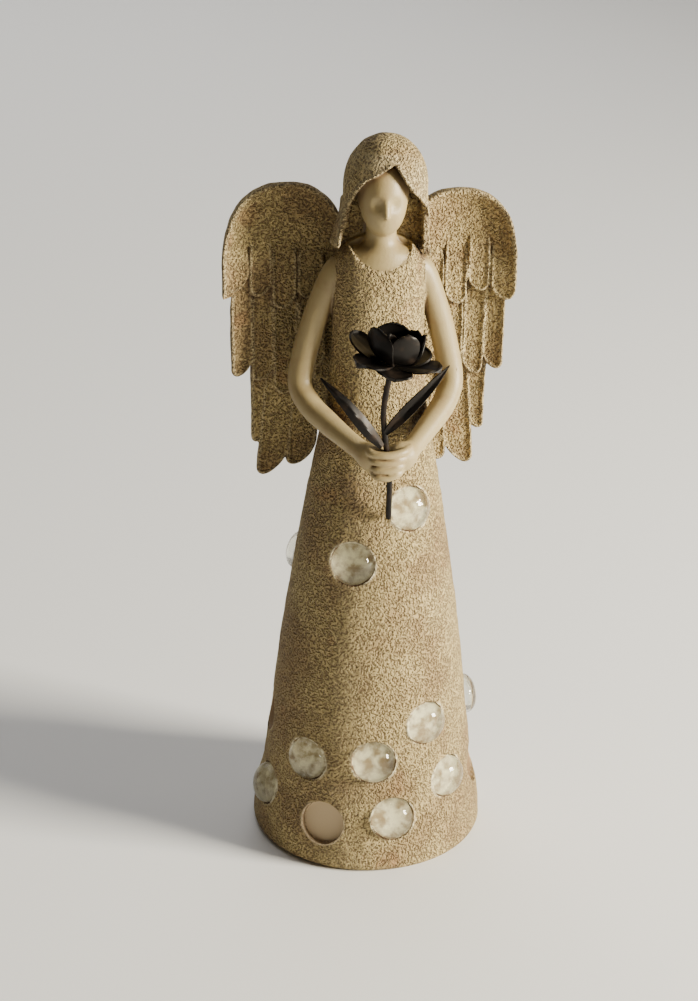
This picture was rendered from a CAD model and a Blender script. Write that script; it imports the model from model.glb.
"""Looks of a standing angel figurine with a black metal rose and glass nuggets in its gown.

Sizes are in millimetres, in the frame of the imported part: +Z up, the figure faces -Y. The cast
figure is worked out as a distance field on a grid, from the same named sizes as the solids, and
turned into one mesh. Everything is scaled to metres when its mesh is made.
"""
import math

import bmesh
import bpy
import numpy as np
import openvdb
from mathutils import Matrix, Vector


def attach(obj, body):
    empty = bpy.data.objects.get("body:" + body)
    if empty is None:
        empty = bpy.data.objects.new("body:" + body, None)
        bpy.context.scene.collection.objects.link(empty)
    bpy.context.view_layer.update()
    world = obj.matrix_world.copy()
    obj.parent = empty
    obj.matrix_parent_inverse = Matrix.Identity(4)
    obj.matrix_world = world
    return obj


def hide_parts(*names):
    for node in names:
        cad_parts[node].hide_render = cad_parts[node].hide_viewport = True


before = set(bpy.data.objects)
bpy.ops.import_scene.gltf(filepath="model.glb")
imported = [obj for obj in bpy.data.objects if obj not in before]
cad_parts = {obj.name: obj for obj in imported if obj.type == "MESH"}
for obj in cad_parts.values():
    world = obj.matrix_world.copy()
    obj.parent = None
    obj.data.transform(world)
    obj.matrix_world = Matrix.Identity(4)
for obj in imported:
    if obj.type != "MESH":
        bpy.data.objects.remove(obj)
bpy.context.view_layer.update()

MM = 0.001

# Grid and mesh density
PITCH = 0.64
BAND = 3.0
MOST_TRIANGLES = 197000

# Gown
WAIST_Z = 217.0
WAIST_HALF_WIDTH = 21.3
SKIRT_SPREAD = 43.5
SKIRT_CURVE = 12.7
HEM_FLARE = 2.5
HEM_FLARE_TOP = 34.0
HEM_FLARE_LOW = 14.0
HEM_ROUND = 4.0
BUST_HALF_WIDTH = 20.1
SHOULDER_Z = 268.0
COLLAR_Z = 287.5
SKIRT_DEPTH_SHARE = 0.97
DEPTH_CHANGE_Z = 150.0
DEPTH_CHANGE_HEIGHT = 90.0
BUST_DEPTH_SHARE = 0.70
NECKLINE_Z = 275.0
NECKLINE_CENTRE_Z = 289.5
NECKLINE_HALF_WIDTH = 14.2
ARMHOLE_X = 18.8
CLOTH_THICKNESS = 0.8

# Head and hair
HEIGHT = 331.0
NECK_RADIUS = 6.3
CHIN_Z = 290.0
HAIRLINE_Z = 318.0
HAIR_HALF_WIDTH = 18.0
HAIR_LEAN = 2.0
HAIR_HALF_DEPTH = 17.5
CROWN_HEIGHT = 22.0
HAIR_THICKNESS = 2.4
HAIR_ROLL = 0.7
HAIR_HEM_Z = 281.5
HAIR_BACK_Z = 236.0
PARTING_X = 3.3
PARTING_Z = 320.5
HAIR_FALL_TOP_Z = 303.0
# The edge of the hair at each side of the face, as x at these heights
HAIR_EDGE_Z = [278, 284, 294.4, 301, 306, 311, 313.9, PARTING_Z]
HAIR_EDGE_LEFT = [-19.6, -18.4, -16.4, -14.8, -12.6, -10.2, -8.2, PARTING_X]
HAIR_EDGE_RIGHT = [20.2, 20.4, 20.0, 18.0, 14.0, 9.4, 7.4, PARTING_X]

# Arms and hands
UPPER_ARM_RADIUS = 5.5
WRIST_RADIUS = 4.3
ELBOW_X = 33.2
ELBOW_Z = 220.5
HAND_Y = -38.5
HAND_Z = 199.3
FINGER_RADIUS = 1.72
FINGER_PITCH = 3.05

# Wings
WING_CENTRE_S = 36.0
WING_CENTRE_Z = 268.0
WING_DEPTH_Y = 20.0
WING_BEND = 0.0095
WING_THICKNESS = 4.6
WING_INNER = 26.0
RIM_HEIGHT = 2.8
RIM_WIDTH = 6.5
FEATHER_THICKNESS = 3.2
FEATHER_CROWN = 0.4
FEATHER_EDGE = 1.1
LAYER_STEP = 1.5
# Wings as (side, reach outwards from the middle of the wing, height of the top)
WINGS = [(-1, 30.6, 306.0), (1, 26.4, 302.3)]

# Feather plan as (root s, root z, tip s, tip z, half-width, layer), s measured out from the middle
FEATHERS = [
    (60.6, 285, 60.8, 256.6, 6.0, 1.5),
    (49.5, 288, 49.5, 256.5, 5.3, 1.6),
    (39, 285, 39, 250.5, 5.7, 1.8),
    (27.5, 282, 27.5, 255, 6.0, 1.9),
    (58, 265, 57.6, 220.5, 5.1, 0.5),
    (48.6, 265, 48.4, 217.5, 5.3, 0.8),
    (38.2, 265, 38, 210.5, 5.8, 1.1),
    (27, 262, 26.5, 222, 6, 1.3),
    (48.8, 235, 48.6, 187.5, 5.1, -0.6),
    (38.5, 240, 44.3, 171.5, 7.3, -0.2),
    (26.5, 240, 31.6, 175.5, 6.6, 0.2),
    (17, 250, 22, 196, 6.2, 0.3),
]

# How single feathers of one wing depart from the plan, as (side, feather): (outwards, up)
TIP_SHIFTS = {(-1, 0): (0, 3.2), (1, 0): (0, -3.6), (1, 8): (2, 3.3), (1, 9): (0, 2.6)}

# Unevenness of the cast surface, as spacing and height
ROUGHNESS = [(6.0, 0.22), (2.4, 0.14)]
ROUGHNESS_SEED = 5

# Glass nuggets and their sockets
NUGGET_RADIUS = 9.5
NUGGET_HEIGHT = 8.8
SOCKET_CLEARANCE = 0.5
SOCKET_DEPTH = 3.6
SEAT_GAP = 0.3
SEAT_HEIGHT = 2.7
SOCKET_SHARP_ANGLE = math.radians(24)
NUGGET_SIDES = 56
# All of them as (name, azimuth in degrees from the front towards the right, height)
NUGGETS = [
    ("upper_front_right", 25.2, 171),
    ("upper_front_left", -23.6, 147.5),
    ("upper_back_left", -121, 133),
    ("upper_back_right", 140, 158),
    ("middle_front_right", 28, 70),
    ("middle_right", 90, 62.5),
    ("middle_front", -4.7, 54.5),
    ("middle_left", -44.5, 51),
    ("middle_back", 178, 66),
    ("lower_right", 42, 39.2),
    ("lower_front", 5.8, 26.5),
    ("lower_left", -77, 26),
    ("lower_back_left", -136, 38),
    ("lower_back_right", 134, 30),
]
EMPTY_SOCKETS = [
    ("lower_front_empty", -31.5, 22.5),
    ("middle_left_empty", -93, 58.5),
    ("lower_right_empty", 79, 31),
]

# Rose
STEM_RADIUS = 1.4
STEM_CLEARANCE = 0.35
WIRE_RADIUS = 1.3
STEM_FOOT_AZIMUTH = 0.06
STEM_FOOT_Z = 169.0
STEM_STAND_OFF = 1.3
SHEET = 0.8
SHEET_SHARP_ANGLE = math.radians(50)
LAYER_RISE = 2.2
OUTER_PETAL_LENGTH = 18.5
OUTER_PETAL_HALF_WIDTH = 7.6
CUP_RADIUS = 10.4
CUP_HEIGHT = 15.6
BUD_PETALS = 3
BLOSSOM_AXIS = (0.17, -0.10, 1.0)
# Petals as (degrees from the front towards the right, share of the length, lift of the tip) and
# as (degrees, share of the height, half-width)
OUTER_PETALS = [(-4, 0.86, -1.5), (68, 1.08, 1.8), (118, 0.9, 3.0), (-120, 1.08, 4.6), (-60, 1.0, -1.0)]
INNER_PETALS = [(10, 1.12, 6.2), (84, 0.90, 6.6), (122, 0.82, 6.6), (180, 0.82, 8.0), (-62, 1.0, 9.0)]
LEAF_FACING = (0.0, -1.0, 0.2)
RIGHT_LEAF = [(-2.2, -42.3, 214), (5.2, -44.6, 223.4), (15.2, -44.0, 233.8), (24.4, -40.5, 242.6)]
LEFT_LEAF = [(-3.4, -41.6, 207.5), (-11, -44.5, 217.5), (-19.5, -42.5, 228), (-29.2, -36.5, 237.2)]
RIGHT_LEAF_HALF_WIDTH = 2.6
RIGHT_LEAF_FOLD = 0.35
LEFT_LEAF_HALF_WIDTH = 2.7
LEFT_LEAF_FOLD = -0.50
STEM_STEPS = 60
STEM_SIDES = 16

# Colours
SAND = (0.49, 0.375, 0.165)
SAND_DARK = (0.25, 0.150, 0.068)
SAND_PALE = (0.66, 0.55, 0.32)
PIT_BROWN = (0.075, 0.036, 0.016)
RUST = (0.30, 0.12, 0.045)
SKIN = (0.345, 0.265, 0.125)
SOCKET_TAN = (0.62, 0.48, 0.30)
SOCKET_PALE = (0.92, 0.86, 0.60)
SOCKET_FLECK = (0.34, 0.25, 0.14)
DIRT = (0.11, 0.058, 0.027)
GLASS_TINT = (0.80, 0.81, 0.72)
METAL_BLACK = (0.009, 0.0075, 0.0065)
METAL_BROWN = (0.045, 0.028, 0.018)
FLOOR_PALE = (0.90, 0.90, 0.89)
STUDIO_WARM = (1.0, 0.84, 0.68)

# Sizes of the marks on the surfaces
BLOTCH_SIZE = 26.0
RUST_SIZE = 15.0
METAL_WEAR_SIZE = 7.0
WEAR_SIZE = 6.0
CLOUD_SIZE = 3.4
GRAIN_SIZE = 0.9
PIT_SPACING = 1.35
LUMP_SIZE = 1.05
WANDER_SIZE = 2.0
WANDER = 1.3
PIT_DEPTH = 1.4

# How far in an edge is felt, and how dirty the walls of the sockets are
CREST_REACH = 1.3
EMPTY_WALL_DIRT = 0.6
NUGGET_WALL_DIRT = 0.95

# The photo's camera, worked out from the round hem and the upright outline
FOCAL_PIXELS = 1906.0
PHOTO_HEIGHT = 1001.0
CAMERA_TILT = math.radians(24.0)
CAMERA_ROLL = math.radians(1.1)
CAMERA_TURN = math.radians(8.0)
CAMERA_DISTANCE = 858.0
CAMERA_TARGET = (-11.0, 0.0, 164.0)
SENSOR = 36.0

# Half the width of the floor, in metres
FLOOR_HALF_WIDTH = 4.0


def smooth(t):
    c = np.clip(t, 0.0, 1.0)
    return c * c * (3 - 2 * c)


def mix(a, b, t):
    return a + (b - a) * t


def smooth_min(a, b, blend):
    if blend <= 0:
        return np.minimum(a, b)
    h = np.clip(0.5 + 0.5 * (b - a) / blend, 0.0, 1.0)
    return mix(b, a, h) - blend * h * (1 - h)


def smooth_max(a, b, blend):
    return -smooth_min(-a, -b, blend)


def spline(points, count):
    """Points along a Catmull-Rom curve through the given points."""
    p = np.asarray(points, float)
    p = np.vstack([2 * p[0] - p[1], p, 2 * p[-1] - p[-2]])
    spans = len(p) - 3
    out = []
    for u in np.linspace(0, spans, count):
        i = min(int(u), spans - 1)
        t = u - i
        a, b, c, d = p[i : i + 4]
        first = (c - a) * t
        second = (2 * a - 5 * b + 4 * c - d) * t**2
        third = (3 * b - a - 3 * c + d) * t**3
        out.append(0.5 * (2 * b + first + second + third))
    return np.array(out)


class Field:
    """Signed distances on a grid, negative inside."""

    def __init__(self, low, high):
        self.low = np.asarray(low, float)
        self.shape = np.ceil((np.asarray(high) - self.low) / PITCH).astype(int) + 1
        self.d = np.full(self.shape, BAND * 3, np.float32)

    def window(self, low, high):
        """The slices and open coordinates of the part of the grid between two corners."""
        first = np.floor((np.asarray(low) - self.low) / PITCH).astype(int)
        last = np.ceil((np.asarray(high) - self.low) / PITCH).astype(int) + 1
        first = np.clip(first, 0, self.shape)
        last = np.clip(last, 0, self.shape)
        box = tuple(slice(a, b) for a, b in zip(first, last))
        x, y, z = [self.low[i] + PITCH * np.arange(first[i], last[i]) for i in range(3)]
        at = (x[:, None, None], y[None, :, None], z[None, None, :])
        return box, tuple(axis.astype(np.float32) for axis in at)

    def add(self, shape, low, high, blend=0.0):
        box, at = self.window(low, high)
        self.d[box] = smooth_min(self.d[box], shape(*at), blend)

    def cut(self, shape, low, high, blend=0.0):
        box, at = self.window(low, high)
        self.d[box] = smooth_max(self.d[box], -shape(*at), blend)

    def sample(self, points):
        """The distance at points, from the eight grid values round each."""
        g = (points - self.low) / PITCH
        i = np.clip(np.floor(g).astype(int), 0, self.shape - 2)
        t = g - i
        total = np.zeros(len(points))
        for corner in np.ndindex(2, 2, 2):
            weight = np.prod(np.where(np.array(corner), t, 1 - t), axis=1)
            j = i + corner
            total += weight * self.d[j[:, 0], j[:, 1], j[:, 2]]
        return total


def segment(a, b, ra, rb):
    """A rod from a to b whose radius goes from ra to rb."""
    a = np.asarray(a, float)
    b = np.asarray(b, float)
    along = b - a
    square = float(along @ along)

    def shape(x, y, z):
        t = ((x - a[0]) * along[0] + (y - a[1]) * along[1] + (z - a[2]) * along[2]) / square
        t = np.clip(t, 0, 1)
        dx = x - a[0] - t * along[0]
        dy = y - a[1] - t * along[1]
        dz = z - a[2] - t * along[2]
        return np.sqrt(dx**2 + dy**2 + dz**2) - mix(ra, rb, t)

    return shape


def add_limb(field, points, radii, blend, reach=4.0):
    """A limb through points with a radius at each, made of short rods."""
    path = spline(np.column_stack([points, radii]), 6 * len(points))
    for a, b in zip(path, path[1:]):
        radius = max(a[3], b[3]) + reach
        low = np.minimum(a[:3], b[:3]) - radius
        high = np.maximum(a[:3], b[:3]) + radius
        field.add(segment(a[:3], b[:3], a[3], b[3]), low, high, blend)


def ellipsoid(centre, radii):
    cx, cy, cz = centre
    rx, ry, rz = radii

    def shape(x, y, z):
        px, py, pz = (x - cx) / rx, (y - cy) / ry, (z - cz) / rz
        q = np.sqrt(px**2 + py**2 + pz**2) + 1e-6
        slope = np.sqrt((px / rx) ** 2 + (py / ry) ** 2 + (pz / rz) ** 2) + 1e-6
        return (q - 1) * q / slope

    return shape


def gown_half_width(z):
    t = np.maximum(0, (WAIST_Z - z) / WAIST_Z)
    cone = WAIST_HALF_WIDTH + SKIRT_SPREAD * t - SKIRT_CURVE * t * t
    flare = HEM_FLARE * smooth((HEM_FLARE_TOP - z) / (HEM_FLARE_TOP - HEM_FLARE_LOW))
    under = np.clip(HEM_ROUND - z, 0, HEM_ROUND)
    rounding = HEM_ROUND - np.sqrt(HEM_ROUND**2 - under**2)
    bust = mix(WAIST_HALF_WIDTH, BUST_HALF_WIDTH, smooth((z - WAIST_Z) / 20))
    s = np.maximum(0, (z - SHOULDER_Z) / (COLLAR_Z + 1 - SHOULDER_Z))
    shoulder = np.sqrt(np.maximum(0.02, 1 - s**3))
    return np.where(z < WAIST_Z, cone + flare - rounding, bust * shoulder)


def gown_depth_share(z):
    return mix(SKIRT_DEPTH_SHARE, BUST_DEPTH_SHARE, smooth((z - DEPTH_CHANGE_Z) / DEPTH_CHANGE_HEIGHT))


def gown_point(azimuth, z):
    half = float(gown_half_width(np.float64(z)))
    share = float(gown_depth_share(np.float64(z)))
    return np.array([half * math.sin(azimuth), -half * share * math.cos(azimuth), z])


def gown_normal(azimuth, z):
    along = gown_point(azimuth + 0.01, z) - gown_point(azimuth - 0.01, z)
    up = gown_point(azimuth, z + 3) - gown_point(azimuth, z - 3)
    out = np.cross(along, up)
    return out / np.linalg.norm(out)


def gown_shape(x, y, z):
    half = gown_half_width(z)
    share = gown_depth_share(z)
    slope = (gown_half_width(z + 1) - gown_half_width(z - 1)) / 2
    lean = 1 / np.sqrt(1 + np.clip(slope, -1.2, 1.2) ** 2)
    r = np.sqrt(x**2 + (y / share) ** 2) + 1e-6
    grade = np.sqrt((x / r) ** 2 + (y / (share**2 * r)) ** 2) + 1e-6
    side = (r - half) / grade * lean
    return np.maximum(side, np.maximum(-z, z - COLLAR_Z - 1))


def neckline(x, z):
    """Distance inside the round neckline, seen from the front."""
    half_height = NECKLINE_CENTRE_Z - NECKLINE_Z
    q = np.sqrt((x / NECKLINE_HALF_WIDTH) ** 2 + ((z - NECKLINE_CENTRE_Z) / half_height) ** 2)
    return (q - 1) * half_height


def add_gown(field):
    """The gown, cut away at the front inside its round neckline."""

    def cloth(x, y, z):
        opening = np.maximum(neckline(x, z), y + CLOTH_THICKNESS)
        return smooth_max(gown_shape(x, y, z), -opening, 0.5)

    reach = SKIRT_SPREAD + WAIST_HALF_WIDTH
    field.add(cloth, [-reach, -reach, -4], [reach, reach, COLLAR_Z + 4])


def add_skin(field):
    """Neck, chest and face, a little under the cloth, so that the neckline is a thin step."""

    def chest(x, y, z):
        return smooth_max(gown_shape(x, y, z) + CLOTH_THICKNESS, z - COLLAR_Z + 4.5, 2)

    column = segment([0, -0.5, 268], [0, -3.6, 300], NECK_RADIUS + 0.6, NECK_RADIUS)

    def neck_and_chest(x, y, z):
        return smooth_min(column(x, y, z), chest(x, y, z), 6)

    field.add(neck_and_chest, [-26, -20, 262], [26, 20, 310])
    field.add(head_shape, [-16, -22, 285], [16, 16, 326], 1.2)


def head_shape(x, y, z):
    """A plain oval head: a straight nose ridge and a soft brow, and no other feature."""
    face_height = HAIRLINE_Z - CHIN_Z
    brow_z = CHIN_Z + face_height * 0.68
    nose_z = CHIN_Z + face_height * 0.35
    skull = ellipsoid((0, -2.5, 309), (11.4, 13.4, 13.0))(x, y, z)
    jaw = ellipsoid((0, -8.6, 299.3), (8.3, 7.6, 9.6))(x, y, z)
    head = smooth_min(skull, jaw, 6)
    for side in (-1, 1):
        hollow = ellipsoid((side * 5.2, -18.4, brow_z - 4.6), (4.6, 3.9, 3.6))(x, y, z)
        head = smooth_max(head, -hollow, 1.6)
    ridge = segment([0, -14.6, brow_z - 0.5], [0, -17.0, nose_z], 0.7, 1.25)(x, y, z)
    return smooth_min(head, ridge, 1.3)


def hair_size(z):
    fall = smooth((HEIGHT - 24 - z) / 30)
    return HAIR_HALF_WIDTH + 3.8 * fall, HAIR_HALF_DEPTH - 1.5 * fall


def hair_centre(z):
    """The crown sits a little to the right of the hem of the hair."""
    return HAIR_LEAN * smooth((z - 282) / 22)


def hair_outside(x, y, z):
    w, d = hair_size(z)
    crown = np.maximum(z - (HEIGHT - CROWN_HEIGHT), 0)
    px, py, pz = (x - hair_centre(z)) / w, (y - 0.5) / d, crown / CROWN_HEIGHT
    q = np.sqrt(px**2 + py**2 + pz**2) + 1e-6
    slope = np.sqrt((px / w) ** 2 + (py / d) ** 2 + (pz / CROWN_HEIGHT) ** 2) + 1e-6
    return (q - 1) * q / slope


def hair_opening(x, z):
    """Distance into the opening round the face, seen from the front."""
    left = np.interp(z, HAIR_EDGE_Z, HAIR_EDGE_LEFT)
    right = np.interp(z, HAIR_EDGE_Z, HAIR_EDGE_RIGHT)
    sides = np.maximum(left - x, x - right) * 0.75
    return np.maximum(sides, z - PARTING_Z)


def hair_front(x, y, z):
    """The hair as a shell round the head, open at the face and below."""
    outside = hair_outside(x, y, z)
    hollow = np.maximum(outside + HAIR_THICKNESS, np.maximum(y - 3, z - PARTING_Z - 2))
    edge = hair_opening(x, z)
    roll = HAIR_ROLL * np.exp(-(((edge - 0.9) / 0.9) ** 2)) * smooth((-2 - y) / 3)
    shell = smooth_max(outside - roll, -hollow, 1.2)
    opening = np.maximum(edge, y + 5)
    shell = smooth_max(shell, -opening, 0.9)
    hem = HAIR_HEM_Z + 2.5 * smooth(-x / 20) - 2.0 * smooth(x / 18)
    return smooth_max(shell, hem - z, 1.0)


def hair_fall(x, y, z):
    """The long fall of hair down the back, between the wings, with soft combed locks."""
    x = x - hair_centre(z)
    t = np.clip((z - HAIR_BACK_Z) / (HAIR_FALL_TOP_Z - HAIR_BACK_Z), 0, 1)
    end = np.sqrt(np.maximum(0.0, 1 - (1 - np.clip(t * 3.2, 0, 1)) ** 2)) * 0.6 + 0.4
    half = mix(14.5, 18.5, t) * end
    depth = mix(5.0, 8.0, t) * end
    centre = mix(12.5, 8.0, smooth(t))
    locks = 0.5 * np.sin(x * 1.15 + 1.6 * np.sin(z / 11)) * smooth((y - 10) / 4)
    q = np.sqrt((x / half) ** 2 + ((y - centre) / depth) ** 2) + 1e-6
    slope = np.sqrt((x / half**2) ** 2 + ((y - centre) / depth**2) ** 2) / q + 1e-6
    side = (q - 1) / slope
    return smooth_max(side + locks, np.maximum(HAIR_BACK_Z - z, z - HAIR_FALL_TOP_Z), 2.0)


def add_hair(field):
    field.add(hair_front, [-28, -24, 274], [28, 24, HEIGHT + 4])
    field.add(hair_fall, [-24, -4, HAIR_BACK_Z - 4], [24, 24, HAIR_FALL_TOP_Z + 4], 2)


def arm_path(side):
    return [
        [side * 14.5, 1, 276],
        [side * 19.8, 1.6, 269.5],
        [side * 26.4, 3, 252],
        [side * 31.3, 3.6, 234],
        [side * ELBOW_X, 1.5, ELBOW_Z],
        [side * 29.4, -6, 213],
        [side * 22.8, -15, 208.3],
        [side * 15.5, -25, 204.2],
        [side * 9.5, -33, HAND_Z + 2],
    ]


def add_arms(field):
    upper, wrist = UPPER_ARM_RADIUS, WRIST_RADIUS
    radii = [upper - 0.6, upper, upper, upper, upper, upper - 0.2, upper - 0.5, wrist + 0.1, wrist]
    for side in (-1, 1):
        add_limb(field, arm_path(side), radii, 0.35)


def add_hands(field):
    """Both hands as one clasp: two palms, and four fingers that cross them from the right wrist."""
    left_palm = ellipsoid((-5.8, HAND_Y + 3.2, HAND_Z + 0.8), (6.6, 4.9, 6.6))
    right_palm = ellipsoid((5.6, HAND_Y + 2.6, HAND_Z + 1.0), (6.8, 5.2, 6.8))
    field.add(left_palm, [-20, -50, 186], [8, -25, 213], 3)
    field.add(right_palm, [-8, -50, 186], [20, -25, 213], 3)
    for i in range(4):
        z = HAND_Z + (1.5 - i) * FINGER_PITCH
        reach = 8.9 - 0.9 * i
        drop = 0.45 * i
        path = [
            [-reach, HAND_Y + 1.6, z - drop + 0.5],
            [-reach * 0.8, HAND_Y - 1.9, z - drop],
            [-reach * 0.1, HAND_Y - 3.6 + 0.25 * i, z - drop - 0.3],
            [reach * 0.62, HAND_Y - 2.3, z - 0.3 * drop + 0.3],
            [reach * 1.05, HAND_Y + 1.6, z + 1.0],
        ]
        radii = [FINGER_RADIUS * r for r in (0.88, 0.95, 1.0, 1.0, 0.9)]
        add_limb(field, path, radii, 0.15, 2)


def wing_y(s):
    return WING_DEPTH_Y - WING_BEND * (s - WING_CENTRE_S) ** 2


def wing_outline(s, z, outer, top):
    """Distance outside the arched top of a wing, in its own plane."""
    out = s > WING_CENTRE_S
    wide = np.where(out, outer, WING_INNER)
    power = np.where(out, 2.7, 2.2)
    high = top - WING_CENTRE_Z
    u = np.abs(s - WING_CENTRE_S) / wide
    v = np.maximum(z - WING_CENTRE_Z, 0) / high
    q = (u**power + v**power) ** (1 / power) + 1e-6
    gu = (u / q) ** (power - 1) / wide
    gv = (v / q) ** (power - 1) / high
    return (q - 1) / np.sqrt(gu**2 + gv**2 + 1e-9)


def add_wing(field, side, outer, top):
    edge_s = WING_CENTRE_S + outer
    stretch = edge_s / (WING_CENTRE_S + WINGS[0][1])
    near, far = sorted((side * 4, side * (edge_s + 4)))

    def plate(x, y, z):
        s = side * x
        n = y - wing_y(s)
        outline = wing_outline(s, z, outer, top)
        low = mix(246, 258, smooth((s - 10) / 50))
        rim = RIM_HEIGHT * (1 - smooth(-outline / RIM_WIDTH))
        front = -n - WING_THICKNESS / 2 - rim
        back = n - WING_THICKNESS / 2 + 1.2 * smooth(1 + outline / 3)
        slab = np.maximum(front, back)
        edge = np.maximum(outline, np.maximum(low - z, 6 - s))
        return smooth_max(slab, edge, 1.2)

    field.add(plate, [near, 2, 240], [far, 28, top + 4], 0.6)

    for i, (s0, z0, s1, z1, half, layer) in enumerate(FEATHERS):
        shift_s, shift_z = TIP_SHIFTS.get((side, i), (0, 0))
        add_feather(field, side, stretch, (s0 + shift_s, z0), (s1 + shift_s, z1 + shift_z), half, layer)


def add_feather(field, side, stretch, root, tip, half, layer):
    root = np.array([root[0] * stretch, root[1]])
    tip = np.array([tip[0] * stretch, tip[1]])
    half = half * stretch
    length = float(np.linalg.norm(tip - root))
    along = (tip - root) / length
    point = 1.15 * half
    slant = 0.75 - 0.4 * min(max(layer, 0.0), 1.2)

    def blade(x, y, z):
        s = side * x
        n = y - wing_y(s)
        u = (s - root[0]) * along[0] + (z - root[1]) * along[1]
        v = (s - root[0]) * along[1] - (z - root[1]) * along[0]
        end = np.maximum(u + slant * v - (length - point - slant * 1.5), 0) / point * half
        narrow = half * 0.3 * (1 - smooth(u / 14))
        outline = np.sqrt(v**2 + end**2) - half + narrow
        share = np.clip(u / length, 0, 1)
        forward = LAYER_STEP * layer * smooth(1.6 * share)
        beyond = np.sqrt(v**2 + end**2) - half
        crown = FEATHER_CROWN * (1 - (v / half) ** 2)
        crown = crown + FEATHER_EDGE * np.exp(-(((beyond + 0.8) / 0.6) ** 2))
        front = -(n + forward) - FEATHER_THICKNESS / 2 - crown
        back = n + forward - FEATHER_THICKNESS / 2
        slab = np.maximum(front, back)
        return smooth_max(slab, np.maximum(outline, -u), 1.3)

    spread = half + 4
    low_s = min(root[0], tip[0]) - spread
    high_s = max(root[0], tip[0]) + spread
    near, far = sorted((side * low_s, side * high_s))
    field.add(blade, [near, 0, tip[1] - 4], [far, 30, root[1] + 4], 0.25)


def setting(azimuth_degrees, z):
    """The point of the gown under a nugget and the direction it faces."""
    azimuth = math.radians(azimuth_degrees)
    return gown_point(azimuth, z), gown_normal(azimuth, z)


def cut_sockets(field):
    radius = NUGGET_RADIUS + SOCKET_CLEARANCE
    for _, azimuth, height in NUGGETS + EMPTY_SOCKETS:
        centre, out = setting(azimuth, height)

        def pocket(x, y, z, centre=centre, out=out):
            dx, dy, dz = x - centre[0], y - centre[1], z - centre[2]
            up = dx * out[0] + dy * out[1] + dz * out[2]
            across = np.sqrt(np.maximum(dx**2 + dy**2 + dz**2 - up**2, 0))
            return smooth_max(across - radius, -up - SOCKET_DEPTH, 0.4)

        field.cut(pocket, centre - radius - 4, centre + radius + 4, 0.4)


def stem_points(count):
    foot = gown_point(STEM_FOOT_AZIMUTH, STEM_FOOT_Z)
    out = gown_normal(STEM_FOOT_AZIMUTH, STEM_FOOT_Z)
    points = [
        foot + out * (STEM_RADIUS + STEM_STAND_OFF),
        [1.3, -34.8, 188.5],
        [-0.8, HAND_Y - 0.6, HAND_Z + 4],
        [-3.3, -43, 224],
        [-1.2, -47.5, 245.5],
    ]
    return spline(points, count)


def cut_stem_way(field):
    path = stem_points(40)
    radius = STEM_RADIUS + STEM_CLEARANCE
    for a, b in zip(path, path[1:]):
        field.cut(segment(a, b, radius, radius), np.minimum(a, b) - 5, np.maximum(a, b) + 5, 0.3)


def spread_weights(count, step):
    """Weights that spread values a step apart smoothly over a line of grid points."""
    at = np.arange(count) * PITCH / step + 1.5
    gap = np.abs(at[:, None] - np.arange(int(at[-1]) + 3))
    near = 0.75 - gap**2
    far = 0.5 * np.maximum(1.5 - gap, 0) ** 2
    return np.where(gap < 0.5, near, far).astype(np.float32)


def roughen(field):
    """Gives the cast surface the slow unevenness of stone. The flat underside stays flat."""
    random = np.random.default_rng(ROUGHNESS_SEED)
    heights = field.low[2] + PITCH * np.arange(field.shape[2])
    above = smooth((heights - 1) / 4).astype(np.float32)
    for step, height in ROUGHNESS:
        weights = [spread_weights(count, step) for count in field.shape]
        bumps = random.normal(0, height, [w.shape[1] for w in weights]).astype(np.float32)
        bumps = np.tensordot(weights[0], bumps, (1, 0))
        bumps = np.tensordot(bumps, weights[1], (1, 1))
        bumps = np.tensordot(bumps, weights[2], (1, 1))
        field.d += bumps * above


def figure_field():
    half = WING_CENTRE_S + WINGS[0][1] + 4
    skirt = WAIST_HALF_WIDTH + SKIRT_SPREAD - SKIRT_CURVE + 8
    field = Field([-half, -skirt, -3], [half, skirt, HEIGHT + 4])
    add_gown(field)
    for side, outer, top in WINGS:
        add_wing(field, side, outer, top)
    add_hair(field)
    roughen(field)
    add_skin(field)
    add_arms(field)
    add_hands(field)
    cut_sockets(field)
    cut_stem_way(field)
    return field


def field_surface(field):
    """The points and faces of the surface where a field is zero."""
    grid = openvdb.FloatGrid(BAND)
    grid.copyFromArray(np.clip(field.d / PITCH, -BAND, BAND).astype(np.float32))
    points, triangles, quads = grid.convertToPolygons(0.0, 0.0)
    points = points * PITCH + field.low
    points[:, 2] = np.maximum(points[:, 2], 0)
    return (points * MM).tolist(), quads.tolist() + triangles.tolist()


def keep_largest_shell(mesh):
    """Leaves out specks that aren't joined to the figure."""
    bm = bmesh.new()
    bm.from_mesh(mesh)
    bm.verts.ensure_lookup_table()
    seen = np.full(len(bm.verts), -1)
    sizes = []
    for start in range(len(bm.verts)):
        if seen[start] >= 0:
            continue
        shell = len(sizes)
        stack = [bm.verts[start]]
        seen[start] = shell
        count = 0
        while stack:
            vert = stack.pop()
            count += 1
            for edge in vert.link_edges:
                other = edge.other_vert(vert)
                if seen[other.index] < 0:
                    seen[other.index] = shell
                    stack.append(other)
        sizes.append(count)
    keep = int(np.argmax(sizes))
    loose = [v for v in bm.verts if seen[v.index] != keep]
    bmesh.ops.delete(bm, geom=loose, context="VERTS")
    bmesh.ops.recalc_face_normals(bm, faces=bm.faces)
    bm.to_mesh(mesh)
    bm.free()


def make_object(name, points, faces, material):
    mesh = bpy.data.meshes.new(name)
    mesh.from_pydata(points, [], faces)
    mesh.materials.append(material)
    mesh.shade_smooth()
    obj = bpy.data.objects.new(name, mesh)
    bpy.context.scene.collection.objects.link(obj)
    return obj


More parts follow.
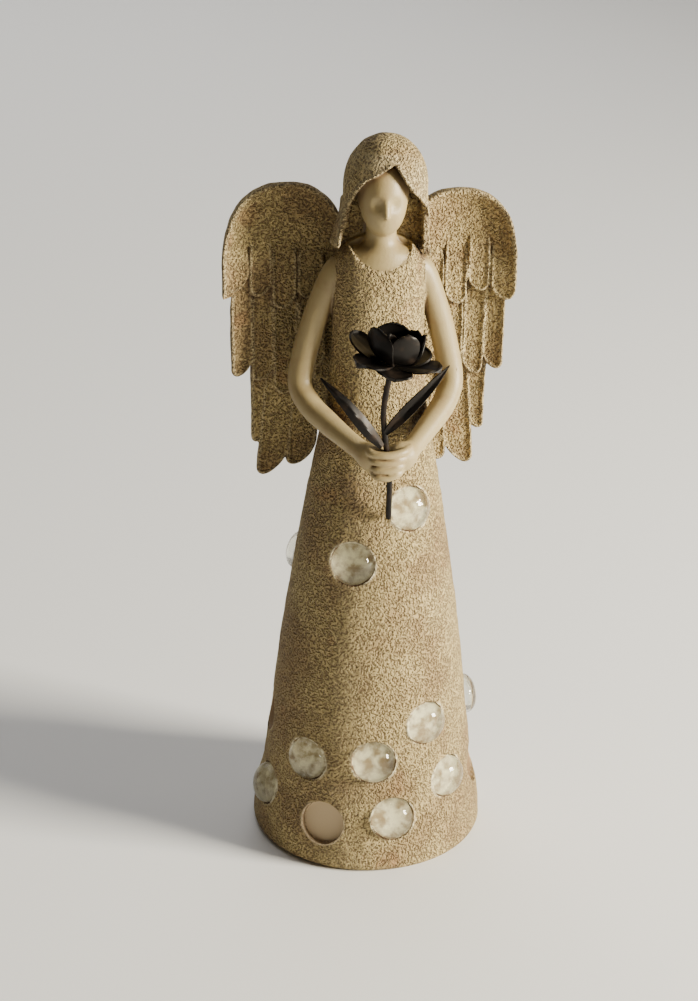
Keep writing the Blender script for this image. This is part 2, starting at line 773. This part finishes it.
def reduce_triangles(obj, most):
    """Brings a mesh under a number of triangles, keeping most of them where it curves."""
    count = sum(len(p.vertices) - 2 for p in obj.data.polygons)
    if count <= most:
        return
    modifier = obj.modifiers.new("fewer", "DECIMATE")
    modifier.ratio = most / count
    graph = bpy.context.evaluated_depsgraph_get()
    mesh = bpy.data.meshes.new_from_object(obj.evaluated_get(graph))
    obj.modifiers.clear()
    old = obj.data
    obj.data = mesh
    bpy.data.meshes.remove(old)


def read_vectors(items, name):
    """One vector of every vertex or face of a mesh, as rows."""
    values = np.empty(len(items) * 3)
    items.foreach_get(name, values)
    return values.reshape(-1, 3)


def set_attribute(mesh, name, values, domain="POINT"):
    layer = mesh.attributes.new(name, "FLOAT", domain)
    layer.data.foreach_set("value", np.asarray(values, np.float32))


def shelter(field, points, normals):
    """How closed in each point is, from 0 in the open to 1 deep in a fold."""
    total = np.zeros(len(points))
    for reach in (1.2, 2.4, 3.6):
        free = field.sample(points + normals * reach) / reach
        total += 1 - np.clip(free, 0, 1)
    return total / 3


def about_socket(points, azimuth, height):
    """How far points lie above the gown at a socket and off its axis, and the way it faces."""
    centre, out = setting(azimuth, height)
    d = points - centre
    up = d @ out
    across = np.linalg.norm(d - np.outer(up, out), axis=1)
    return up, across, out


def socket_masks(points):
    """Which points lie in a socket, and which of those have a nugget over them."""
    inside = np.zeros(len(points))
    backed = np.zeros(len(points))
    radius = NUGGET_RADIUS + SOCKET_CLEARANCE + 1.0
    for name, azimuth, height in EMPTY_SOCKETS + NUGGETS:
        up, across, _ = about_socket(points, azimuth, height)
        here = smooth((radius - across) / 0.5) * smooth((-0.3 - up) / 0.6) * (up > -8)
        inside = np.maximum(inside, here)
        if not name.endswith("_empty"):
            backed = np.maximum(backed, here)
    return inside, backed


def socket_walls(mesh):
    """How dirty each face is for lying in the wall of a socket. The floors stay clean."""
    centres = read_vectors(mesh.polygons, "center") / MM
    normals = read_vectors(mesh.polygons, "normal")
    walls = np.zeros(len(centres))
    reach = NUGGET_RADIUS + SOCKET_CLEARANCE + 0.6
    for dirt, sockets in ((EMPTY_WALL_DIRT, EMPTY_SOCKETS), (NUGGET_WALL_DIRT, NUGGETS)):
        for _, azimuth, height in sockets:
            up, across, out = about_socket(centres, azimuth, height)
            wall = (across < reach) & (np.abs(up + 2) < 2.4) & (normals @ out < 0.7)
            walls[wall] = dirt
    return walls


def sharpen_sockets(mesh, inside):
    """Keeps the corner between the wall and the flat floor of each socket crisp."""
    bm = bmesh.new()
    bm.from_mesh(mesh)
    for edge in bm.edges:
        if all(inside[vert.index] > 0.5 for vert in edge.verts):
            edge.smooth = edge.calc_face_angle(0.0) < SOCKET_SHARP_ANGLE
    bm.to_mesh(mesh)
    bm.free()


def crest(field, points, normals):
    """How far each point stands out on an edge, from 0 on flat parts to 1 on a sharp corner."""
    behind = -field.sample(points - normals * CREST_REACH) / CREST_REACH
    return 1 - np.clip(behind, 0, 1)


def skin_mask(points):
    """The bare skin: face, neck, chest above the neckline, arms and hands."""
    x, y, z = points.T
    bare = np.full(len(points), 99.0)
    for side in (-1, 1):
        path = spline(arm_path(side), 60)
        for a, b in zip(path, path[1:]):
            bare = np.minimum(bare, segment(a, b, UPPER_ARM_RADIUS, UPPER_ARM_RADIUS)(x, y, z))
    beyond_dress = np.maximum(smooth((np.abs(x) - ARMHOLE_X) / 0.5), smooth((-16 - y) / 2))
    arms = smooth((0.9 - bare) / 0.5) * beyond_dress
    gap = np.abs(gown_shape(x, y, z) + CLOTH_THICKNESS)
    chest = smooth(-neckline(x, z) / 0.5) * (y < 3) * (gap < 4) * (z > NECKLINE_Z - 2)
    around_neck = segment([0, -0.5, 268], [0, -3.2, 300], NECK_RADIUS + 2, NECK_RADIUS + 2)
    neck = (around_neck(x, y, z) < 0) * (z > 276)
    face = smooth((0.8 - head_shape(x, y, z)) / 0.5) * (y < 0)
    hands = (z > HAND_Z - 10) * (z < HAND_Z + 9) * (y < -22)
    return np.clip(np.maximum.reduce([arms, chest, neck * 1.0, face, hands * 1.0]), 0, 1)


def node_tree(name):
    material = bpy.data.materials.new(name)
    material.use_nodes = True
    tree = material.node_tree
    shader = next(n for n in tree.nodes if n.type == "BSDF_PRINCIPLED")
    return material, tree, shader


def feed(tree, slot, value):
    """Sets an input to a number or colour, or links it to another node's output."""
    if isinstance(value, bpy.types.NodeSocket):
        tree.links.new(value, slot)
    elif isinstance(value, tuple):
        slot.default_value = (*value, 1)
    else:
        slot.default_value = value


def node(tree, kind, **inputs):
    """A shader node with some of its inputs set or linked."""
    made = tree.nodes.new(kind)
    for key, value in inputs.items():
        feed(tree, made.inputs[key], value)
    return made


def attribute(tree, name):
    made = tree.nodes.new("ShaderNodeAttribute")
    made.attribute_name = name
    return made.outputs["Fac"]


def math_node(tree, operation, a, b=0.0):
    made = tree.nodes.new("ShaderNodeMath")
    made.operation = operation
    for slot, value in zip(made.inputs, (a, b)):
        feed(tree, slot, value)
    return made.outputs[0]


def ramp(tree, value, low, high, out_low=0.0, out_high=1.0):
    """A smooth step from out_low to out_high while the value goes from low to high."""
    limits = {"From Min": low, "From Max": high, "To Min": out_low, "To Max": out_high}
    made = node(tree, "ShaderNodeMapRange", Value=value, **limits)
    made.interpolation_type = "SMOOTHSTEP"
    return made.outputs["Result"]


def blend_colours(tree, share, a, b):
    made = tree.nodes.new("ShaderNodeMix")
    made.data_type = "RGBA"
    colours = [s for s in made.inputs if s.type == "RGBA"]
    for slot, value in ((made.inputs[0], share), (colours[0], a), (colours[1], b)):
        feed(tree, slot, value)
    return next(s for s in made.outputs if s.type == "RGBA")


def noise(tree, where, size, detail=2.0):
    """Noise from 0 to 1, with lumps of about the given size."""
    made = node(tree, "ShaderNodeTexNoise", Vector=where, Scale=1 / (size * MM), Detail=detail)
    return made.outputs["Fac"]


def stone_relief(tree, where):
    """The height of the pitted surface, from 0 at the bottom of a pit to 1 between the pits."""
    wander = node(tree, "ShaderNodeTexNoise", Vector=where, Scale=1 / (WANDER_SIZE * MM))
    shift = tree.nodes.new("ShaderNodeVectorMath")
    shift.operation = "MULTIPLY_ADD"
    tree.links.new(wander.outputs["Color"], shift.inputs[0])
    shift.inputs[1].default_value = (WANDER * MM, WANDER * MM, WANDER * MM)
    tree.links.new(where, shift.inputs[2])
    lumps = noise(tree, shift.outputs[0], LUMP_SIZE, 1.5)
    cells = node(tree, "ShaderNodeTexVoronoi", Vector=shift.outputs[0], Scale=1 / (PIT_SPACING * MM))
    holes = ramp(tree, cells.outputs["Distance"], 0.05, 0.42)
    return math_node(tree, "MULTIPLY", ramp(tree, lumps, 0.30, 0.60), holes)


def cast_resin_material():
    material, tree, shader = node_tree("cast_resin")
    where = tree.nodes.new("ShaderNodeTexCoord").outputs["Object"]
    skin = attribute(tree, "skin")
    socket = attribute(tree, "socket")
    backed = attribute(tree, "backed")
    recess = attribute(tree, "recess")
    smooth_part = math_node(tree, "MAXIMUM", skin, socket)
    rough_part = math_node(tree, "SUBTRACT", 1.0, smooth_part)
    depth = math_node(tree, "SUBTRACT", 1.0, stone_relief(tree, where))
    depth = math_node(tree, "MULTIPLY", depth, rough_part)
    blotch = noise(tree, where, BLOTCH_SIZE, 3.0)
    grain = noise(tree, where, GRAIN_SIZE)
    stain = ramp(tree, blotch, 0.42, 0.66, 0.0, 0.55)
    colour = blend_colours(tree, stain, SAND, SAND_DARK)
    rusty = ramp(tree, noise(tree, where, RUST_SIZE), 0.60, 0.74, 0.0, 0.35)
    colour = blend_colours(tree, rusty, colour, RUST)
    colour = blend_colours(tree, ramp(tree, grain, 0.30, 0.70, 0.22, 0.0), colour, SAND_DARK)
    edges = ramp(tree, attribute(tree, "crest"), 0.18, 0.55, 0.0, 0.42)
    colour = blend_colours(tree, edges, colour, SAND_PALE)
    worn = ramp(tree, noise(tree, where, WEAR_SIZE, 3.0), 0.45, 0.75, 0.0, 0.35)
    colour = blend_colours(tree, skin, colour, blend_colours(tree, worn, SKIN, SAND_DARK))
    cloudy = ramp(tree, noise(tree, where, CLOUD_SIZE, 5.0), 0.36, 0.62)
    glued = blend_colours(tree, cloudy, SOCKET_FLECK, SOCKET_PALE)
    floor = blend_colours(tree, backed, SOCKET_TAN, glued)
    colour = blend_colours(tree, socket, colour, floor)
    dirt = ramp(tree, recess, 0.12, 0.75, 0.0, 0.72)
    dirt = math_node(tree, "MULTIPLY", dirt, math_node(tree, "SUBTRACT", 1.0, socket))
    colour = blend_colours(tree, dirt, colour, DIRT)
    colour = blend_colours(tree, attribute(tree, "socket_wall"), colour, DIRT)
    colour = blend_colours(tree, ramp(tree, depth, 0.42, 0.92, 0.0, 0.64), colour, PIT_BROWN)
    tree.links.new(colour, shader.inputs["Base Color"])
    tree.links.new(ramp(tree, skin, 0.0, 1.0, 0.86, 0.46), shader.inputs["Roughness"])
    height = math_node(tree, "SUBTRACT", math_node(tree, "MULTIPLY", grain, 0.06), depth)
    bump = node(tree, "ShaderNodeBump", Height=height, Distance=PIT_DEPTH * MM, Strength=1.0)
    tree.links.new(bump.outputs["Normal"], shader.inputs["Normal"])
    return material


def plain_material(name, colour, values):
    """A material with the same values all over."""
    material, _, shader = node_tree(name)
    shader.inputs["Base Color"].default_value = (*colour, 1)
    for slot, value in values.items():
        shader.inputs[slot].default_value = value
    return material


def clear_glass_material():
    values = {"Roughness": 0.02, "IOR": 1.5, "Transmission Weight": 1.0, "Alpha": 0.72}
    return plain_material("clear_glass", GLASS_TINT, values)


def glued_glass_material():
    """The seat of a nugget. Clear glue joins it to the socket, so light passes it unbent."""
    values = {"Roughness": 0.0, "IOR": 1.0, "Transmission Weight": 1.0, "Alpha": 0.05}
    return plain_material("glued_glass", (1.0, 1.0, 1.0), values)


def black_metal_material():
    material, tree, shader = node_tree("black_metal")
    where = tree.nodes.new("ShaderNodeTexCoord").outputs["Object"]
    worn = ramp(tree, noise(tree, where, METAL_WEAR_SIZE, 3.0), 0.48, 0.70, 0.0, 0.55)
    colour = blend_colours(tree, worn, METAL_BLACK, METAL_BROWN)
    tree.links.new(colour, shader.inputs["Base Color"])
    shader.inputs["Metallic"].default_value = 0.6
    shader.inputs["Specular IOR Level"].default_value = 0.35
    tree.links.new(ramp(tree, worn, 0.0, 0.55, 0.40, 0.58), shader.inputs["Roughness"])
    return material


def make_figure(material):
    field = figure_field()
    figure = make_object("angel_figure_cast", *field_surface(field), material)
    keep_largest_shell(figure.data)
    reduce_triangles(figure, MOST_TRIANGLES)
    figure.data.shade_smooth()
    points = read_vectors(figure.data.vertices, "co") / MM
    normals = read_vectors(figure.data.vertices, "normal")
    inside, backed = socket_masks(points)
    sharpen_sockets(figure.data, inside)
    set_attribute(figure.data, "crest", crest(field, points, normals))
    set_attribute(figure.data, "socket", inside)
    set_attribute(figure.data, "backed", backed)
    set_attribute(figure.data, "socket_wall", socket_walls(figure.data), "FACE")
    set_attribute(figure.data, "skin", skin_mask(points))
    set_attribute(figure.data, "recess", shelter(field, points, normals))
    return figure


def lathe(profile, sides):
    """Points and faces of a solid turned about +Z from a profile that starts and ends on the axis."""
    points = [(0, 0, profile[0][1])]
    for radius, height in profile[1:-1]:
        for i in range(sides):
            a = 2 * math.pi * i / sides
            points.append((radius * math.cos(a), radius * math.sin(a), height))
    points.append((0, 0, profile[-1][1]))
    faces = []
    rings = len(profile) - 2
    for i in range(sides):
        j = (i + 1) % sides
        faces.append((0, 1 + j, 1 + i))
        for k in range(rings - 1):
            a = 1 + k * sides
            faces.append((a + i, a + j, a + sides + j, a + sides + i))
        last = 1 + (rings - 1) * sides
        faces.append((last + i, last + j, len(points) - 1))
    return points, faces


def nugget_profile():
    """A flat back, a full rounded edge and a shallow dome."""
    waist = 0.30 * NUGGET_HEIGHT
    profile = [(0, 0)]
    for i in range(1, 7):
        a = math.pi / 2 * i / 6
        profile.append((NUGGET_RADIUS * (0.74 + 0.26 * math.sin(a)), waist * (1 - math.cos(a))))
    for i in range(1, 13):
        a = math.pi / 2 * i / 12
        height = waist + (NUGGET_HEIGHT - waist) * math.sin(a)
        profile.append((NUGGET_RADIUS * math.cos(a) ** 0.86, height))
    profile[-1] = (0, NUGGET_HEIGHT)
    return profile


def make_nugget(name, azimuth, height, glass, glued_glass):
    centre, out = setting(azimuth, height)
    base = centre + out * (SEAT_GAP - SOCKET_DEPTH)
    turn = Vector((0, 0, 1)).rotation_difference(Vector(out)).to_matrix()
    points, faces = lathe(nugget_profile(), NUGGET_SIDES)
    placed = [tuple((turn @ Vector(p) + Vector(base)) * MM) for p in points]
    nugget = make_object(name, placed, faces, glass)
    nugget.data.materials.append(glued_glass)
    for polygon, face in zip(nugget.data.polygons, faces):
        polygon.material_index = int(max(points[i][2] for i in face) < SEAT_HEIGHT)
    return nugget


def sheet_faces(rows, columns, offset):
    """The faces of both sides and the rim of a sheet whose points are given in rows."""
    faces = []
    back = rows * columns
    for i in range(rows - 1):
        for j in range(columns - 1):
            a = i * columns + j
            quad = (a, a + 1, a + columns + 1, a + columns)
            faces.append(quad)
            faces.append(tuple(back + v for v in reversed(quad)))
    rim = list(range(columns))
    rim += [i * columns + columns - 1 for i in range(1, rows)]
    rim += [(rows - 1) * columns + j for j in range(columns - 2, -1, -1)]
    rim += [i * columns for i in range(rows - 2, 0, -1)]
    for a, b in zip(rim, rim[1:] + rim[:1]):
        faces.append((b, a, back + a, back + b))
    return [tuple(offset + v for v in face) for face in faces]


def sheet_points(grid, thickness):
    """Both sides of a sheet whose middle surface is a rows x columns grid of points."""
    along = np.gradient(grid, axis=0)
    across = np.gradient(grid, axis=1)
    out = np.cross(along, across)
    out /= np.linalg.norm(out, axis=2, keepdims=True) + 1e-9
    both = np.concatenate([grid + out * thickness / 2, grid - out * thickness / 2])
    return both.reshape(-1, 3)


def make_sheets(name, grids, thickness, material):
    points = []
    faces = []
    for grid in grids:
        rows, columns = grid.shape[:2]
        faces += sheet_faces(rows, columns, len(points))
        points += [tuple(p * MM) for p in sheet_points(grid, thickness)]
    sheets = make_object(name, points, faces, material)
    bm = bmesh.new()
    bm.from_mesh(sheets.data)
    bmesh.ops.recalc_face_normals(bm, faces=bm.faces)
    bm.to_mesh(sheets.data)
    bm.free()
    sheets.data.set_sharp_from_angle(angle=SHEET_SHARP_ANGLE)
    return sheets


def petal(turn, midline, half_width, wrap, cup, curl=0.0, tip=2.2):
    """A petal as a grid of points about +Z. wrap bends it round the axis, curl rolls its end
    outwards, and the end is rounder the lower tip is."""
    rows = 19
    columns = 15
    widest = 0.6
    path = spline([(r, h, 0) for r, h in midline], 101)
    grid = np.zeros((rows, columns, 3))
    for i, t in enumerate(np.linspace(0, 1, rows)):
        v = math.sin(math.pi / 2 * t)
        r, h, _ = path[round(100 * v)]
        if v < widest:
            share = 0.34 + 0.66 * math.sin(math.pi / 2 * v / widest)
        else:
            share = math.sqrt(max(0.0, 1 - ((v - widest) / (1 - widest)) ** tip))
        w = half_width * max(share, 0.03)
        for j, u in enumerate(np.linspace(-1, 1, columns)):
            angle = w * u / max(r, 0.45 * half_width) * wrap
            flat = w * u * (1 - wrap)
            rise = cup * u * u * v + 0.3 * math.sin(4 * u + 3 * turn) * v * v
            crease = -0.35 * math.exp(-((u * 5) ** 2)) * v
            reach = max(r + curl * float(smooth((v - 0.72) / 0.28)) * (1 - 0.4 * u * u), 0.3)
            a = turn + angle
            grid[i, j] = (
                reach * math.cos(a) - flat * math.sin(turn),
                reach * math.sin(a) + flat * math.cos(turn),
                h + rise + crease,
            )
    return grid


def in_blossom(grid, rise):
    """Moves points from the flower's own frame to the end of the stem."""
    axis = Vector(BLOSSOM_AXIS).normalized()
    turn = np.array(Vector((0, 0, 1)).rotation_difference(axis).to_matrix())
    base = stem_points(2)[-1] + np.array(axis) * rise
    return grid @ turn.T + base


def make_rose(material):
    outer = []
    for i, (degrees, share, lift) in enumerate(OUTER_PETALS):
        length = OUTER_PETAL_LENGTH * share
        bend = (length * 0.72, 1.4 + 0.45 * lift)
        midline = [(0.5, 0), (length * 0.38, 0.8), bend, (length, 1.6 + lift)]
        grid = petal(math.radians(degrees - 90), midline, OUTER_PETAL_HALF_WIDTH, 0.1, 1.6)
        outer.append(in_blossom(grid, 0.6 + 0.25 * i))
    inner = []
    for i, (degrees, share, half_width) in enumerate(INNER_PETALS):
        tall = CUP_HEIGHT * share
        wide = CUP_RADIUS + 0.35 * (i % 2)
        midline = [(0.5, 0), (wide * 0.72, tall * 0.12), (wide, tall * 0.5), (wide * 0.94, tall * 0.94)]
        grid = petal(math.radians(degrees - 90), midline, half_width, 0.75, -0.6, 0.8, 3.2)
        inner.append(in_blossom(grid, 0.6 + LAYER_RISE))
    bud = []
    for i in range(BUD_PETALS):
        midline = [(0.4, 0), (3.8, 1.4), (4.6, 4.6), (3.4, 8.2)]
        grid = petal(0.4 + i * 2 * math.pi / BUD_PETALS, midline, 5.0, 1.0, -0.5, 0.3)
        bud.append(in_blossom(grid, 0.6 + 2 * LAYER_RISE))
    grids = {"rose_outer_petals": outer, "rose_inner_petals": inner, "rose_bud_petals": bud}
    return {name: make_sheets(name + "_sheet", grids[name], SHEET, material) for name in grids}


def leaf_grid(points, half_width, fold, facing):
    """A pointed leaf creased along its middle, with its edges folded towards the way it faces."""
    rows = 21
    columns = 9
    path = spline(points, rows)
    grid = np.zeros((rows, columns, 3))
    tangents = np.gradient(path, axis=0)
    for i, v in enumerate(np.linspace(0, 1, rows)):
        along = tangents[i] / np.linalg.norm(tangents[i])
        across = np.cross(along, facing)
        across /= np.linalg.norm(across)
        out = np.cross(across, along)
        w = half_width * max(0.06, math.sin(math.pi * min(1, 0.08 + 0.92 * v) ** 0.85) ** 0.8)
        for j, u in enumerate(np.linspace(-1, 1, columns)):
            vein = 0.12 * math.sin(26 * v - 5 * abs(u)) * (1 - abs(u)) * (v < 0.9)
            grid[i, j] = path[i] + across * w * u + out * (fold * w * abs(u) + vein)
    return grid


def tube_mesh(name, path, radius, sides, material):
    """A round wire along a path, with closed ends."""
    points = []
    faces = []
    tangents = np.gradient(path, axis=0)
    side = np.array([1.0, 0, 0])
    for centre, tangent in zip(path, tangents):
        along = tangent / np.linalg.norm(tangent)
        side = side - along * (side @ along)
        side /= np.linalg.norm(side)
        other = np.cross(along, side)
        for k in range(sides):
            a = 2 * math.pi * k / sides
            points.append(tuple((centre + radius * (math.cos(a) * side + math.sin(a) * other)) * MM))
    for i in range(len(path) - 1):
        for k in range(sides):
            m = (k + 1) % sides
            faces.append((i * sides + k, i * sides + m, (i + 1) * sides + m, (i + 1) * sides + k))
    faces.append(tuple(reversed(range(sides))))
    faces.append(tuple((len(path) - 1) * sides + k for k in range(sides)))
    return make_object(name, points, faces, material)


def make_stem_and_leaves(material):
    facing = np.array(LEAF_FACING) / np.linalg.norm(LEAF_FACING)
    right = leaf_grid(RIGHT_LEAF, RIGHT_LEAF_HALF_WIDTH, RIGHT_LEAF_FOLD, facing)
    left = leaf_grid(LEFT_LEAF, LEFT_LEAF_HALF_WIDTH, LEFT_LEAF_FOLD, facing)
    path = stem_points(STEM_STEPS)
    return {
        "rose_stem": tube_mesh("rose_stem_wire", path, WIRE_RADIUS, STEM_SIDES, material),
        "rose_leaf_right": make_sheets("rose_leaf_right_sheet", [right], SHEET, material),
        "rose_leaf_left": make_sheets("rose_leaf_left_sheet", [left], SHEET, material),
    }


def make_camera():
    turn = Matrix.Rotation(-CAMERA_TURN, 3, "Z")
    view = turn @ Vector((0, math.cos(CAMERA_TILT), -math.sin(CAMERA_TILT)))
    right = turn @ Vector((1, 0, 0))
    up = right.cross(view)
    c, s = math.cos(CAMERA_ROLL), math.sin(CAMERA_ROLL)
    image_right = c * right + s * up
    image_up = -s * right + c * up
    target = turn @ Vector((CAMERA_TARGET[0], 0, 0)) + Vector((0, 0, CAMERA_TARGET[2]))
    place = (target - CAMERA_DISTANCE * view) * MM
    data = bpy.data.cameras.new("photo_camera")
    data.sensor_fit = "VERTICAL"
    data.sensor_height = SENSOR
    data.lens = SENSOR * FOCAL_PIXELS / PHOTO_HEIGHT
    data.clip_start = 0.01
    camera = bpy.data.objects.new("photo_camera", data)
    axes = Matrix((image_right, image_up, -view)).transposed()
    camera.matrix_world = Matrix.Translation(place) @ axes.to_4x4()
    bpy.context.scene.collection.objects.link(camera)
    bpy.context.scene.camera = camera


def make_floor():
    material = plain_material("floor", FLOOR_PALE, {"Roughness": 0.9})
    size = FLOOR_HALF_WIDTH
    corners = [(-size, -size, 0), (size, -size, 0), (size, size, 0), (-size, size, 0)]
    make_object("floor", corners, [(0, 1, 2, 3)], material)


def area_light(name, azimuth, elevation, distance, size, power, colour, aim=(0, 0, 0.16)):
    """A soft square light that looks at a point. Azimuth 0 is in front and 90 at the right.

    Distance, size and aim are in metres, and power is in watts.
    """
    a, e = math.radians(azimuth), math.radians(elevation)
    centre = Vector(aim)
    away = Vector((math.sin(a) * math.cos(e), -math.cos(a) * math.cos(e), math.sin(e)))
    place = centre + distance * away
    data = bpy.data.lights.new(name, "AREA")
    data.size = size
    data.energy = power
    data.color = colour
    light = bpy.data.objects.new(name, data)
    light.location = place
    light.rotation_euler = (centre - place).to_track_quat("-Z", "Y").to_euler()
    bpy.context.scene.collection.objects.link(light)


def make_lights():
    area_light("key", 66, 15, 1.8, 0.5, 132, (1.0, 0.93, 0.77))
    area_light("fill", -30, 40, 1.8, 1.2, 0.5, STUDIO_WARM)
    area_light("top", 180, 72, 1.7, 1.2, 10, (1.0, 1.0, 1.0))
    area_light("backdrop", 180, 89, 1.3, 2.4, 26, (1.0, 0.99, 0.97), (-0.3, 2.4, 0.0))
    world = bpy.data.worlds.new("studio")
    world.use_nodes = True
    background = world.node_tree.nodes["Background"]
    background.inputs["Color"].default_value = (*STUDIO_WARM, 1)
    background.inputs["Strength"].default_value = 0.05
    bpy.context.scene.world = world


def hand_over(piece, node_name):
    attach(piece, "root")
    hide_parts(node_name)


def main():
    resin = cast_resin_material()
    glass = clear_glass_material()
    glued_glass = glued_glass_material()
    metal = black_metal_material()
    hand_over(make_figure(resin), "angel_figure")
    for name, azimuth, height in NUGGETS:
        nugget = make_nugget("glass_" + name, azimuth, height, glass, glued_glass)
        hand_over(nugget, "nugget_" + name)
    rose = {**make_rose(metal), **make_stem_and_leaves(metal)}
    for node_name, piece in rose.items():
        hand_over(piece, node_name)
    make_camera()
    make_floor()
    make_lights()


main()
